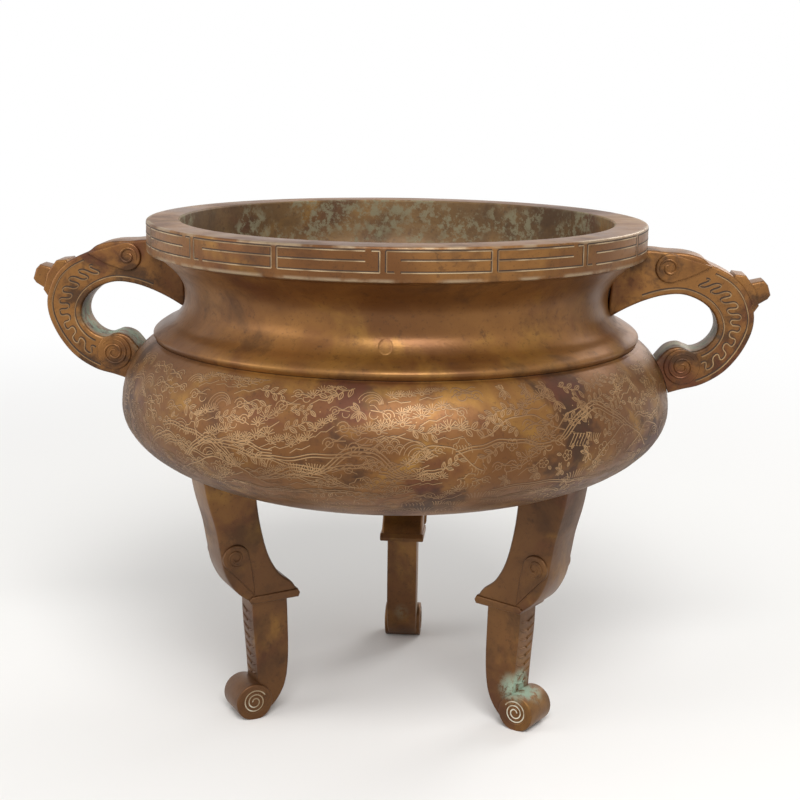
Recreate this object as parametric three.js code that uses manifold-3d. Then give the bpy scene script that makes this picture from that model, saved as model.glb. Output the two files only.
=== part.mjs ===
// Three-legged bronze incense burner: a wide bowl with a collar neck, two loop handles and three
// elephant-head legs whose trunks curl outwards at the floor.
// Millimetres, +Z up. The origin is on the floor, on the bowl's own axis. The handles lie along X.
// The bowl and the neck are two castings that meet at the groove under the neck. The handles and the
// legs are castings of their own, held by rivets that pass through the bowl's wall from inside.
import * as THREE from "three";
import { mergeVertices } from "three/addons/utils/BufferGeometryUtils.js";
import Module from "manifold-3d";

const wasm = await Module();
wasm.setup();

// Driving dimensions
const RIM_RADIUS = 120; // outside of the lip
const RIM_TOP = 241; // height of the lip over the floor
const LIP_WIDTH = 16; // flat top of the lip, outside to mouth
const BAND_HEIGHT = 14.6; // upright outside face of the lip
const NECK_RADIUS = 102.4; // narrowest outside radius
const NECK_HEIGHT = 206;
const FLARE_RADIUS = 117.4; // swelling at the foot of the neck
const SEAM_HEIGHT = 184.6; // groove between neck and bowl
const BELLY_RADIUS = 133.2;
const BELLY_HEIGHT = 153; // height of the widest place
const FLOOR_RADIUS = 48; // flat part under the bowl
const BELLY_DROP = 40; // widest place down to the underside
const WALL = 5;
const GAP = 0.3; // between pieces that touch
const HANDLE_WIDTH = 20; // across, along Y
const HANDLE_BEVEL = 1.4;
const HEAD_WIDTH = 22;
const SHAFT_WIDTH = 16;
const ROLL_WIDTH = 19.5;
const ROLL_RADIUS = 9.2;
const ROLL_REACH = 78.5; // axis of the roll, from the bowl's axis
const FOOT_FLAT = 0.6; // worn flat under each roll
const LEG_BEVEL = 1.1;
const RIVET_RADIUS = 3;
const RIVET_HEAD = 6;
const WASHER_RADIUS = 8.5;
const WASHER_THICKNESS = 1.6;
const LEG_RIVET_REACH = 90; // where the rivet meets the underside
const HANDLE_RIVET_HEIGHT = 213; // in the neck
const EAR_RIVET_HEIGHT = 169; // in the bowl's shoulder
const PLUG_RADIUS = 3.2;
const PLUG_HEIGHT = 197;
const PLUG_TURN = -88; // degrees round from +X
const TURNS = 48; // steps round the bowl

const shoulder = { centre: 105.6, reach: BELLY_RADIUS - 105.6, rise: 34.5 };
const underside = { centre: FLOOR_RADIUS, reach: BELLY_RADIUS - FLOOR_RADIUS, rise: BELLY_DROP };

const degrees = THREE.MathUtils.degToRad;
const point = (x, z) => new THREE.Vector2(x, z);

const bronze = (color) => new THREE.MeshStandardMaterial({ color, roughness: 0.42, metalness: 0.85 });
const finishes = {
  bowl: bronze(0x8a5a2b),
  neck: bronze(0x95642f),
  handle: bronze(0x8c5e33),
  leg: bronze(0x7a4c26),
  rivet: bronze(0x6b4a2c),
};

// Conversions between three.js geometry and a solid that can be joined and cut
function solidOf(geometry) {
  const bare = geometry.clone();
  bare.deleteAttribute("normal");
  bare.deleteAttribute("uv");
  const merged = mergeVertices(bare, 1e-3);
  return new wasm.Manifold(
    new wasm.Mesh({
      numProp: 3,
      vertProperties: merged.attributes.position.array,
      triVerts: new Uint32Array(merged.index.array),
    }),
  );
}

function geometryOf(solid) {
  const mesh = solid.getMesh();
  const geometry = new THREE.BufferGeometry();
  geometry.setAttribute("position", new THREE.BufferAttribute(mesh.vertProperties, 3));
  geometry.setIndex(new THREE.BufferAttribute(mesh.triVerts, 1));
  geometry.computeVertexNormals();
  return geometry;
}

// A solid of revolution about Z from points (radius, height)
function turned(profile, steps = TURNS) {
  const geometry = new THREE.LatheGeometry(profile, steps);
  geometry.rotateX(Math.PI / 2);
  return solidOf(geometry);
}

// An outline in the XZ plane, given a width along Y
function slab(shape, width, bevel = 0, curveSteps = 8) {
  const geometry = new THREE.ExtrudeGeometry(shape, {
    depth: width - 2 * bevel,
    curveSegments: curveSteps,
    bevelEnabled: bevel > 0,
    bevelThickness: bevel,
    bevelSize: bevel,
    bevelOffset: -bevel,
    bevelSegments: 1,
  });
  geometry.translate(0, 0, bevel - width / 2);
  geometry.rotateX(Math.PI / 2);
  return solidOf(geometry);
}

// Points along an ellipse's quarter, from the widest place towards its top (side 1) or bottom (side -1)
function quarter({ centre, reach, rise }, side, from, to, steps, inset = 0) {
  return Array.from({ length: steps + 1 }, (_, i) => {
    const a = degrees(from + ((to - from) * i) / steps);
    return point(
      centre + (reach - inset) * Math.cos(a),
      BELLY_HEIGHT + side * (rise - inset) * Math.sin(a),
    );
  });
}

// The bowl
const SPIGOT_RADIUS = 106.7;
const SPIGOT_DEPTH = 6.5;
const seamAngle = THREE.MathUtils.radToDeg(
  Math.asin((SEAM_HEIGHT - GAP - BELLY_HEIGHT) / shoulder.rise),
);

function bowlOutside(grow = 0) {
  return [
    ...quarter(underside, -1, 90, 0, 8, -grow),
    ...quarter(shoulder, 1, 0, seamAngle, 6, -grow).slice(1),
  ];
}

function bowlSolid() {
  const top = SEAM_HEIGHT - GAP;
  const inside = [
    point(SPIGOT_RADIUS + GAP, top),
    point(SPIGOT_RADIUS + GAP, top - SPIGOT_DEPTH - 0.6),
    ...quarter(shoulder, 1, 62, 0, 3, WALL),
    ...quarter(underside, -1, 0, 90, 7, WALL).slice(1),
  ];
  return turned([
    point(0, BELLY_HEIGHT - BELLY_DROP),
    ...bowlOutside(),
    ...inside,
    point(0, BELLY_HEIGHT - BELLY_DROP + WALL),
  ]);
}

// What the legs and handles are cut back with, so that they sit on the bowl and the neck
function bowlCutter() {
  return turned([
    point(0, BELLY_HEIGHT - BELLY_DROP - GAP),
    ...bowlOutside(GAP),
    point(0, SEAM_HEIGHT),
  ]);
}

// The neck with its lip
const bandFoot = RIM_TOP - BAND_HEIGHT;
const neckOutside = new THREE.SplineCurve([
  point(115.5, bandFoot - 1.6),
  point(107.6, bandFoot - 8.6),
  point(103.4, bandFoot - 14.8),
  point(NECK_RADIUS, NECK_HEIGHT),
  point(103.2, 199.6),
  point(107.6, 194),
  point(113.4, 190.8),
  point(FLARE_RADIUS, 187.6),
  point(116.4, SEAM_HEIGHT),
]);
const neckInside = new THREE.SplineCurve([
  point(SPIGOT_RADIUS - 4.4, SEAM_HEIGHT + 2),
  point(100.6, 192),
  point(98, 199),
  point(97.2, NECK_HEIGHT),
  point(98.6, 213),
  point(102.2, 220),
  point(103.8, bandFoot + 2),
]);

function neckProfile() {
  const mouth = RIM_RADIUS - LIP_WIDTH;
  return [
    point(SPIGOT_RADIUS, SEAM_HEIGHT),
    point(116.4, SEAM_HEIGHT),
    ...neckOutside.getPoints(12).reverse().slice(1),
    point(RIM_RADIUS - 1.2, bandFoot - 0.4),
    point(RIM_RADIUS, bandFoot + 0.8),
    point(RIM_RADIUS, RIM_TOP - 1),
    point(RIM_RADIUS - 1, RIM_TOP),
    point(mouth + 1, RIM_TOP),
    point(mouth, RIM_TOP - 1),
    ...neckInside.getPoints(7).reverse(),
    point(SPIGOT_RADIUS - 4.4, SEAM_HEIGHT - SPIGOT_DEPTH),
    point(SPIGOT_RADIUS, SEAM_HEIGHT - SPIGOT_DEPTH),
    point(SPIGOT_RADIUS, SEAM_HEIGHT),
  ];
}

function neckCutter() {
  const side = neckOutside
    .getPoints(12)
    .reverse()
    .map((p) => point(p.x + GAP, p.y));
  return turned([
    point(0, SEAM_HEIGHT - 0.05),
    point(116.4 + GAP, SEAM_HEIGHT - 0.05),
    ...side,
    point(RIM_RADIUS - 1.2, bandFoot - 0.4 - GAP),
    point(RIM_RADIUS + GAP, bandFoot + 0.8 - GAP),
    point(RIM_RADIUS + GAP, RIM_TOP + GAP),
    point(0, RIM_TOP + GAP),
  ]);
}

// A round bar along a direction in the XZ plane, from a foot point
function bar(radius, foot, lean, length, steps = 12) {
  const geometry = new THREE.CylinderGeometry(radius, radius, length, steps);
  geometry.rotateX(Math.PI / 2);
  geometry.translate(0, 0, length / 2);
  geometry.rotateY(lean);
  geometry.translate(foot.x, 0, foot.y);
  return solidOf(geometry);
}

// Where a rivet goes: the point on the outside wall, and the outward direction as an angle from +Z
function seat(ellipse, side, reach) {
  const cosine = (reach - ellipse.centre) / ellipse.reach;
  const sine = Math.sqrt(1 - cosine * cosine);
  const normal = point(cosine / ellipse.reach, (side * sine) / ellipse.rise).normalize();
  return {
    at: point(reach, BELLY_HEIGHT + side * ellipse.rise * sine),
    normal,
    lean: Math.atan2(normal.x, normal.y),
  };
}

const shoulderReach =
  shoulder.centre +
  shoulder.reach * Math.sqrt(1 - ((EAR_RIVET_HEIGHT - BELLY_HEIGHT) / shoulder.rise) ** 2);
const legSeat = { ...seat(underside, -1, LEG_RIVET_REACH), wall: WALL + 0.5, grip: 14 };
const lowerSeat = { ...seat(shoulder, 1, shoulderReach), wall: WALL + 0.5, grip: 12 };
const upperSeat = {
  at: point(105.2, HANDLE_RIVET_HEIGHT),
  normal: point(1, 0),
  lean: Math.PI / 2,
  wall: 8.2,
  grip: 16,
};

const alongSeat = ({ at, normal }, distance) =>
  point(at.x + normal.x * distance, at.y + normal.y * distance);

// The hole for a rivet, through the wall and into the piece outside
function rivetHole(place) {
  const inward = place.wall + 4;
  return bar(
    RIVET_RADIUS + GAP,
    alongSeat(place, -inward),
    place.lean,
    inward + place.grip + GAP,
  );
}

// Rivet: domed head, then a shank along +Z
function rivetGeometry(place) {
  const height = 3.2;
  const start = WASHER_THICKNESS + GAP;
  const shank = place.wall + start + place.grip;
  const geometry = new THREE.LatheGeometry(
    [
      point(0, -height),
      point(RIVET_HEAD * 0.55, -height * 0.82),
      point(RIVET_HEAD * 0.9, -height * 0.38),
      point(RIVET_HEAD, 0),
      point(RIVET_RADIUS, 0),
      point(RIVET_RADIUS, shank),
      point(0, shank),
    ],
    12,
  );
  geometry.rotateX(Math.PI / 2);
  return geometry;
}

function washerGeometry() {
  const geometry = new THREE.LatheGeometry(
    [
      point(RIVET_RADIUS + GAP, 0),
      point(WASHER_RADIUS, 0),
      point(WASHER_RADIUS, WASHER_THICKNESS),
      point(RIVET_RADIUS + GAP, WASHER_THICKNESS),
      point(RIVET_RADIUS + GAP, 0),
    ],
    16,
  );
  geometry.rotateX(Math.PI / 2);
  return geometry;
}

// The handle, drawn on the +X side
const handleOuter = [
  [104, 228.9],
  [121, 229.3],
  [129, 228.6],
  [138, 228.1],
  [145.4, 226.2],
  [149.6, 223.2],
  [155.1, 220.7],
  [161, 217.3],
  [166.6, 211.6],
  [170.2, 204],
  [171.4, 196.6],
  [169.8, 188.6],
  [164.9, 179.1],
  [157.6, 170.8],
  [147.8, 164.9],
  [138, 162.2],
  [128, 159],
];
const handleInner = [
  [122, 170],
  [126.6, 176.6],
  [131.2, 181.6],
  [137, 183.2],
  [143.2, 181.2],
  [149.2, 183.6],
  [153.4, 188.8],
  [154.2, 194.4],
  [151.6, 200.4],
  [145.8, 205.4],
  [137.4, 208.4],
  [128.3, 207.8],
  [119, 205],
  [109.8, 200.7],
  [102, 196],
];

const toPoints = (list) => list.map(([x, z]) => point(x, z));

function handleOutline() {
  const shape = new THREE.Shape();
  shape.moveTo(...handleOuter[0]);
  shape.splineThru(toPoints(handleOuter.slice(1)));
  shape.lineTo(...handleInner[0]);
  shape.splineThru(toPoints(handleInner.slice(1)));
  shape.closePath();
  return shape;
}

// Curled leaf in relief: a round end that draws out to a point
function leaf(centre, radius, tip) {
  const shape = new THREE.Shape();
  const toTip = Math.atan2(tip.y - centre.y, tip.x - centre.x);
  const open = degrees(62);
  shape.absarc(centre.x, centre.y, radius, toTip + open, toTip - open + 2 * Math.PI, false);
  shape.quadraticCurveTo(
    centre.x + radius * 1.5 * Math.cos(toTip - 0.55),
    centre.y + radius * 1.5 * Math.sin(toTip - 0.55),
    tip.x,
    tip.y,
  );
  shape.closePath();
  return shape;
}

function disc(centre, radius) {
  const shape = new THREE.Shape();
  shape.absarc(centre.x, centre.y, radius, 0, 2 * Math.PI, false);
  return shape;
}

// Stub on the back of the loop, with its wider foot
function handleStub() {
  const foot = new THREE.Shape(
    toPoints([
      [158, 212],
      [161.5, 218.6],
      [166.6, 218],
      [171.4, 211.6],
      [173.4, 203.6],
      [170.6, 199.4],
      [164, 202],
    ]),
  );
  const stub = new THREE.Shape(
    toPoints([
      [165, 212],
      [170.2, 214.4],
      [175.4, 215.6],
      [177.4, 213.4],
      [178.9, 208.6],
      [177.6, 206.6],
      [172.4, 203.4],
      [166, 203],
    ]),
  );
  return slab(foot, HANDLE_WIDTH - 3, 0.8).add(slab(stub, HANDLE_WIDTH - 7, 0.9));
}

function handleSolid() {
  const relief = 1.5;
  let solid = slab(handleOutline(), HANDLE_WIDTH, HANDLE_BEVEL, 2);
  solid = solid.add(slab(leaf(point(130.6, 221), 7, point(150.4, 222.4)), HANDLE_WIDTH + 2 * relief, 0.7, 8));
  solid = solid.add(slab(disc(point(138.2, 173.6), 8.6), HANDLE_WIDTH + relief, 0.5, 8));
  solid = solid.add(handleStub());
  return solid
    .subtract(bowlCutter())
    .subtract(neckCutter())
    .subtract(rivetHole(upperSeat))
    .subtract(rivetHole(lowerSeat));
}

// The leg, drawn on the +X side
const headOutline = [
  [104, 128],
  [101.4, 113],
  [97.6, 99],
  [95.6, 88],
  [93.4, 77],
  [88, 67],
  [80.4, 60.4],
  [57.6, 61.4],
  [56.8, 64.6],
  [59.6, 68.6],
  [66, 74],
  [71.4, 84],
  [75, 98],
  [77, 112],
  [78, 128],
];
const shaftOuter = [
  [78.8, 66],
  [78.4, 50],
  [76.8, 30],
  [75.6, 12],
];
const shaftInner = [
  [77, 1.2],
  [71.6, 2.4],
  [65.4, 8.6],
  [61.6, 17],
  [60.2, 30],
  [60.4, 48],
  [61, 66],
];

function shaftOutline() {
  const shape = new THREE.Shape();
  shape.moveTo(...shaftOuter[0]);
  shape.splineThru(toPoints(shaftOuter.slice(1)));
  shape.lineTo(...shaftInner[0]);
  shape.splineThru(toPoints(shaftInner.slice(1)));
  shape.closePath();
  return shape;
}

// Raised lip round the mouth that the trunk comes out of
function mouthLip() {
  const shape = new THREE.Shape(
    toPoints([
      [56.2, 60.6],
      [55.4, 62.6],
      [56.6, 64.8],
      [80, 63.4],
      [81.6, 61.6],
      [80.6, 59.8],
    ]),
  );
  return slab(shape, HEAD_WIDTH + 1.6, 0.6);
}

function legSolid() {
  const floorSlab = new THREE.BoxGeometry(60, 60, 10);
  floorSlab.translate(ROLL_REACH, 0, -5);
  const rollCentre = point(ROLL_REACH, ROLL_RADIUS - FOOT_FLAT);
  let solid = slab(new THREE.Shape(toPoints(headOutline)), HEAD_WIDTH, LEG_BEVEL);
  solid = solid.add(slab(shaftOutline(), SHAFT_WIDTH, 0, 2));
  solid = solid.add(slab(disc(rollCentre, ROLL_RADIUS), ROLL_WIDTH, 0.7, 10));
  solid = solid.add(slab(leaf(point(88, 84), 6.6, point(78.6, 64)), HEAD_WIDTH + 2.4, 0.6, 8));
  solid = solid.add(mouthLip());
  return solid.subtract(solidOf(floorSlab)).subtract(bowlCutter()).subtract(rivetHole(legSeat));
}

// Assembly
const burner = new THREE.Group();

function place(name, geometry, material, parent = burner) {
  const mesh = new THREE.Mesh(geometry, material);
  mesh.name = name;
  parent.add(mesh);
  return mesh;
}

// A group turned round the bowl's axis, for what is drawn on the +X side
function turnedGroup(turn) {
  const group = new THREE.Group();
  group.rotation.z = degrees(turn);
  burner.add(group);
  return group;
}

function placeRivet(name, where, group, withWasher) {
  const lift = where.wall + (withWasher ? WASHER_THICKNESS + GAP : 0.6);
  const foot = alongSeat(where, -lift);
  const rivet = place(name, rivetGeometry({ ...where, grip: where.grip - 1.4 }), finishes.rivet, group);
  rivet.position.set(foot.x, 0, foot.y);
  rivet.rotation.y = where.lean;
  if (!withWasher) return;
  const washerFoot = alongSeat(where, -(where.wall + WASHER_THICKNESS));
  const washer = place(name.replace("rivet", "washer"), washerGeometry(), finishes.rivet, group);
  washer.position.set(washerFoot.x, 0, washerFoot.y);
  washer.rotation.y = where.lean;
}

const turnHole = (place, turn) => rivetHole(place).rotate([0, 0, turn]);

const legTurns = { leg_front_left: -150, leg_front_right: -30, leg_rear: 90 };
const handleTurns = { handle_right: 0, handle_left: 180 };

let bowl = bowlSolid();
let neck = turned(neckProfile());
for (const turn of Object.values(legTurns)) bowl = bowl.subtract(turnHole(legSeat, turn));
for (const turn of Object.values(handleTurns)) {
  bowl = bowl.subtract(turnHole(lowerSeat, turn));
  neck = neck.subtract(turnHole(upperSeat, turn));
}

// Round plug that fills a core pin's hole in the neck
const plugBar = (radius) =>
  bar(radius, point(90, PLUG_HEIGHT), Math.PI / 2, 34, 14).rotate([0, 0, PLUG_TURN]);
const plug = neck.intersect(plugBar(PLUG_RADIUS));
neck = neck.subtract(plugBar(PLUG_RADIUS + GAP));

place("bowl", geometryOf(bowl), finishes.bowl);
place("neck_and_lip", geometryOf(neck), finishes.neck);
place("neck_core_plug", geometryOf(plug), finishes.rivet);

const legGeometry = geometryOf(legSolid());
for (const [name, turn] of Object.entries(legTurns)) {
  const group = turnedGroup(turn);
  place(name, legGeometry.clone(), finishes.leg, group);
  placeRivet(name + "_rivet", legSeat, group, true);
}

const handleGeometry = geometryOf(handleSolid());
for (const [name, turn] of Object.entries(handleTurns)) {
  const group = turnedGroup(turn);
  place(name, handleGeometry.clone(), finishes.handle, group);
  placeRivet(name + "_upper_rivet", upperSeat, group, false);
  placeRivet(name + "_lower_rivet", lowerSeat, group, false);
}

export default burner;
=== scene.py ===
import math
import random

import bmesh
import bpy
import numpy as np
from mathutils import Matrix, Vector


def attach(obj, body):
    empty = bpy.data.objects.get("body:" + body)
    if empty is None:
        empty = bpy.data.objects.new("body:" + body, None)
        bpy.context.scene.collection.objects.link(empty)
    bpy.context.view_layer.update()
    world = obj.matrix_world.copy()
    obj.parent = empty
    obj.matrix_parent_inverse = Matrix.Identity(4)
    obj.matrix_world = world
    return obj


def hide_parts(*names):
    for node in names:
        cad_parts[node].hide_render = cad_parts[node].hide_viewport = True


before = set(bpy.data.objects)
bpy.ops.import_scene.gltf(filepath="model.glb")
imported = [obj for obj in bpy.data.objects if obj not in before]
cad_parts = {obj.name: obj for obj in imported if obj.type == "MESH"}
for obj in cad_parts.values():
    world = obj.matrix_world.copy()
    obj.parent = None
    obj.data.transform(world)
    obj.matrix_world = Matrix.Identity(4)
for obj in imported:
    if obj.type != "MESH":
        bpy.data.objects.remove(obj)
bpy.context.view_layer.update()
mm = 0.001
print("frame loaded")


class Wire:
    # one socket of a shader graph, with arithmetic
    def __init__(self, graph, socket):
        self.graph, self.socket = graph, socket

    def maths(self, operation, *others):
        return self.graph.add("ShaderNodeMath", dict(enumerate((self, *others))), operation=operation)

    def __add__(self, other):
        return self.maths("ADD", other)

    def __sub__(self, other):
        return self.maths("SUBTRACT", other)

    def __rsub__(self, other):
        return (self * -1) + other

    def __mul__(self, other):
        return self.maths("MULTIPLY", other)

    __radd__, __rmul__ = __add__, __mul__

    def ramp(self, low, high):
        # 0 below low, 1 above high, smooth between
        return self.graph.add("ShaderNodeMapRange", {0: self, 1: low, 2: high, 3: 0.0, 4: 1.0},
                              interpolation_type="SMOOTHSTEP")


class Graph:
    def __init__(self, material):
        self.nodes, self.links = material.node_tree.nodes, material.node_tree.links

    def feed(self, socket, value):
        if isinstance(value, Wire):
            self.links.new(value.socket, socket)
        else:
            socket.default_value = value

    def node(self, kind, sockets=None, **settings):
        node = self.nodes.new(kind)
        for key, value in settings.items():
            setattr(node, key, value)
        for key, value in (sockets or {}).items():
            self.feed(node.inputs[key], value)
        return node

    def add(self, kind, sockets=None, out=0, **settings):
        return Wire(self, self.node(kind, sockets, **settings).outputs[out])

    def mix(self, factor, a, b):
        # between two colours, each a wire or three numbers
        full = [c if isinstance(c, Wire) else (*c, 1.0) for c in (a, b)]
        return self.add("ShaderNodeMix", {0: factor, 6: full[0], 7: full[1]}, out=2, data_type="RGBA")

    def distance(self, a, b):
        return self.add("ShaderNodeVectorMath", {0: a, 1: b}, out="Value", operation="DISTANCE")


def newMaterial(name):
    material = bpy.data.materials.new(name)
    material.use_nodes = True
    return material, Graph(material), material.node_tree.nodes["Principled BSDF"]


def bronze(name, look, stains=()):
    # patinated bronze; a stain is a round patch (centre, radius, colour, amount), or "crust" or "edges"
    # with a colour and an amount
    material, graph, shader = newMaterial(name)
    where = graph.add("ShaderNodeTexCoord", out="Object")

    def noise(scale, detail=3.0, rough=0.55, twist=0.0):
        return graph.add("ShaderNodeTexNoise", {"Vector": where, "Scale": scale, "Detail": detail,
                                                "Roughness": rough, "Distortion": twist})

    cloudy = noise(look["cloudScale"], 4.0, 0.6, 0.6)
    patchy = noise(look["patchScale"], 5.0, 0.65, 0.3)
    grain = noise(look["grainScale"], 2.0)
    colour = graph.mix(cloudy.ramp(0.36, 0.66), look["brown"], look["tan"])
    gilt = noise(look["cloudScale"] * 1.6 + 3.0, 4.0, 0.6, 0.4)
    colour = graph.mix(gilt.ramp(0.52, 0.66) * look["giltAmount"], colour, look["gilt"])
    colour = graph.mix(patchy.ramp(0.50, 0.64) * look["patchAmount"], colour, look["dark"])
    red = noise(look["patchScale"] * 0.62 + 7.0, 4.0, 0.6, 0.2)
    colour = graph.mix(red.ramp(0.50, 0.66) * look["redAmount"], colour, look["red"])
    speck = noise(look["speckScale"], 6.0, 0.78)
    colour = graph.mix(speck.ramp(0.55, 0.68) * look["speckAmount"], colour, look["dark"])
    colour = graph.mix(grain.ramp(0.58, 0.76) * look["grainAmount"], colour, look["dark"])
    rough = patchy.ramp(0.35, 0.7) * 0.16 + look["roughness"] + grain * 0.06
    for stain in stains:
        if stain[0] == "crust":  # pale deposits all over
            cover = noise(210.0, 6.0, 0.75).ramp(0.46, 0.58) * noise(34.0, 4.0, 0.6).ramp(0.40, 0.56)
            colour = graph.mix(cover * stain[2], colour, stain[1])
            rough = rough + cover * look["stainRoughness"]
        elif stain[0] == "edges":  # rubbed bright along the lip's top edge and the band's lower edge
            place = graph.node("ShaderNodeSeparateXYZ", {0: where}).outputs
            x, y, z = (Wire(graph, place[i]) for i in range(3))
            reach = (x * x + y * y).maths("SQRT")
            # heights and radii in metres
            topEdge = z.ramp(0.2392, 0.2404) * reach.ramp(0.1178, 0.1190)
            lowEdge = z.ramp(0.2256, 0.2262) * (1 - z.ramp(0.2268, 0.2282)) * reach.ramp(0.1176, 0.1190)
            worn = topEdge.maths("MAXIMUM", lowEdge) * noise(70.0, 4.0).ramp(0.40, 0.58)
            colour = graph.mix(worn * stain[2], colour, stain[1])
        else:
            centre, radius, tint, amount = stain
            away = graph.distance(where, centre)
            cover = (1 - away.ramp(radius * 0.35, radius)) * noise(240.0, 5.0, 0.7).ramp(0.38, 0.56) * amount
            colour = graph.mix(cover, colour, tint)
            rough = rough + cover * look["stainRoughness"]
    graph.feed(shader.inputs["Base Color"], colour)
    graph.feed(shader.inputs["Roughness"], rough.maths("MINIMUM", 0.92))
    bump = graph.node("ShaderNodeBump", {"Strength": look["bump"], "Distance": 0.0006,
                                         "Height": patchy * 0.7 + grain * 0.3})
    graph.links.new(bump.outputs[0], shader.inputs["Normal"])
    shader.inputs["Metallic"].default_value = look["metallic"]
    return material


def lineMaterial(name, light, dark, roughness, scale=60.0):
    # lines in a light and a dark colour mixed by noise; used for the painted highlights and painted shade
    # beside cuts, and for dark grooves and pale spirals
    material, graph, shader = newMaterial(name)
    where = graph.add("ShaderNodeTexCoord", out="Object")
    worn = graph.add("ShaderNodeTexNoise", {"Vector": where, "Scale": scale, "Detail": 4.0})
    graph.feed(shader.inputs["Base Color"], graph.mix(worn.ramp(0.40, 0.62), dark, light))
    shader.inputs["Roughness"].default_value = roughness
    shader.inputs["Metallic"].default_value = 0.35
    return material


castLook = {"brown": (0.130, 0.050, 0.012), "tan": (0.245, 0.108, 0.026), "dark": (0.038, 0.017, 0.008),
            "gilt": (0.290, 0.145, 0.028), "red": (0.090, 0.024, 0.010), "giltAmount": 0.55,
            "redAmount": 0.45, "patchAmount": 0.50, "speckAmount": 0.45, "grainAmount": 0.35,
            "cloudScale": 12.0, "patchScale": 26.0, "speckScale": 170.0, "grainScale": 620.0,
            "roughness": 0.33, "stainRoughness": 0.35, "metallic": 0.58, "bump": 0.3}
bowlLook = {**castLook, "patchAmount": 0.85, "tan": (0.205, 0.088, 0.022), "roughness": 0.36,
            "giltAmount": 0.8, "redAmount": 0.8}
handleLook = {**castLook, "patchAmount": 0.8, "patchScale": 44.0, "redAmount": 0.7}
legLook = {**castLook, "brown": (0.100, 0.041, 0.012), "tan": (0.175, 0.078, 0.022)}
insideLook = {**castLook, "brown": (0.100, 0.052, 0.018), "tan": (0.175, 0.095, 0.032),
              "roughness": 0.45, "metallic": 0.4}
verdigris = (0.34, 0.44, 0.34)
mineral = (0.255, 0.225, 0.140)


def placed(name, data):
    thing = bpy.data.objects.new(name, data)
    bpy.context.scene.collection.objects.link(thing)
    return thing


def plainMesh(name, vertices, faces):
    # from points in millimetres
    mesh = bpy.data.meshes.new(name)
    mesh.from_pydata([tuple(c * mm for c in v) for v in vertices], [], faces)
    return mesh


def meshPiece(name, vertices, faces, material, tidy=True):
    return dress(name, plainMesh(name, vertices, faces), material, tidy=tidy)


def dress(name, mesh, material, sharp=35.0, tidy=True):
    # shades a mesh smooth up to a sharp angle; tidy also welds it and turns its faces outwards
    if tidy:
        work = bmesh.new()
        work.from_mesh(mesh)
        bmesh.ops.remove_doubles(work, verts=work.verts, dist=2e-6)
        bmesh.ops.recalc_face_normals(work, faces=work.faces)
        for edge in work.edges:
            if len(edge.link_faces) == 2:
                edge.smooth = edge.calc_face_angle(0.0) < math.radians(sharp)
        work.to_mesh(mesh)
        work.free()
    mesh.polygons.foreach_set("use_smooth", [True] * len(mesh.polygons))
    mesh.materials.clear()
    mesh.materials.append(material)
    return placed(name, mesh)


def baked(source):
    # the mesh that an object's modifiers or bevel give
    bpy.context.view_layer.update()
    depsgraph = bpy.context.evaluated_depsgraph_get()
    return bpy.data.meshes.new_from_object(source.evaluated_get(depsgraph))


def drop(*things):
    for thing in things:
        bpy.data.objects.remove(thing)


def newTree(name, inputs):
    # an empty Geometry Nodes tree: its inputs, a function that adds a node, and one that ends the tree
    tree = bpy.data.node_groups.new(name, "GeometryNodeTree")
    tree.interface.new_socket(name="Geometry", in_out="INPUT", socket_type="NodeSocketGeometry")
    for label, kind in inputs.items():
        tree.interface.new_socket(name=label, in_out="INPUT", socket_type=kind)
    tree.interface.new_socket(name="Geometry", in_out="OUTPUT", socket_type="NodeSocketGeometry")
    given, result = tree.nodes.new("NodeGroupInput"), tree.nodes.new("NodeGroupOutput")

    def add(kind, sockets, **settings):
        node = tree.nodes.new(kind)
        for key, value in settings.items():
            setattr(node, key, value)
        for key, value in sockets.items():
            if isinstance(value, bpy.types.NodeSocket):
                tree.links.new(value, node.inputs[key])
            else:
                node.inputs[key].default_value = value
        return node

    def finish(instances, material):
        real = add("GeometryNodeRealizeInstances", {"Geometry": instances})
        paint = add("GeometryNodeSetMaterial", {"Geometry": real.outputs["Geometry"], "Material": material})
        tree.links.new(paint.outputs["Geometry"], result.inputs["Geometry"])
        return tree
    return given.outputs, add, finish


def applyTree(source, name, tree, values, material, tidy=False):
    # runs a tree on a mesh and keeps the result as a plain mesh piece
    modifier = source.modifiers.new(tree.name, "NODES")
    modifier.node_group = tree
    for item in tree.interface.items_tree:
        if item.in_out == "INPUT" and item.name in values:
            modifier[item.identifier] = values[item.name]
    mesh = baked(source)
    drop(source)
    return dress(name, mesh, material, tidy=tidy)


def roundTree(material):
    # copies of a mesh turned about the vessel's axis
    given, add, finish = newTree("roundTheAxis", {"Count": "NodeSocketInt", "Step": "NodeSocketFloat"})
    points = add("GeometryNodePoints", {"Count": given["Count"]})
    index = add("GeometryNodeInputIndex", {})
    turn = add("ShaderNodeMath", {0: index.outputs[0], 1: given["Step"]}, operation="MULTIPLY")
    rotation = add("ShaderNodeCombineXYZ", {"Z": turn.outputs[0]})
    copies = add("GeometryNodeInstanceOnPoints", {"Points": points.outputs[0], "Instance": given["Geometry"],
                                                  "Rotation": rotation.outputs[0]})
    return finish(copies.outputs["Instances"], material)


def splineThrough(points, steps):
    # the same curve that the part's outlines follow
    out, last = [], len(points) - 1
    for i in range(last):
        p0, p1 = np.array(points[max(i - 1, 0)]), np.array(points[i])
        p2, p3 = np.array(points[i + 1]), np.array(points[min(i + 2, last)])
        for k in range(steps):
            t = k / steps
            v0, v1 = (p2 - p0) / 2, (p3 - p1) / 2
            out.append(tuple((2 * p1 - 2 * p2 + v0 + v1) * t ** 3
                             + (-3 * p1 + 3 * p2 - 2 * v0 - v1) * t ** 2 + v0 * t + p1))
    return out + [tuple(points[-1])]


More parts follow.
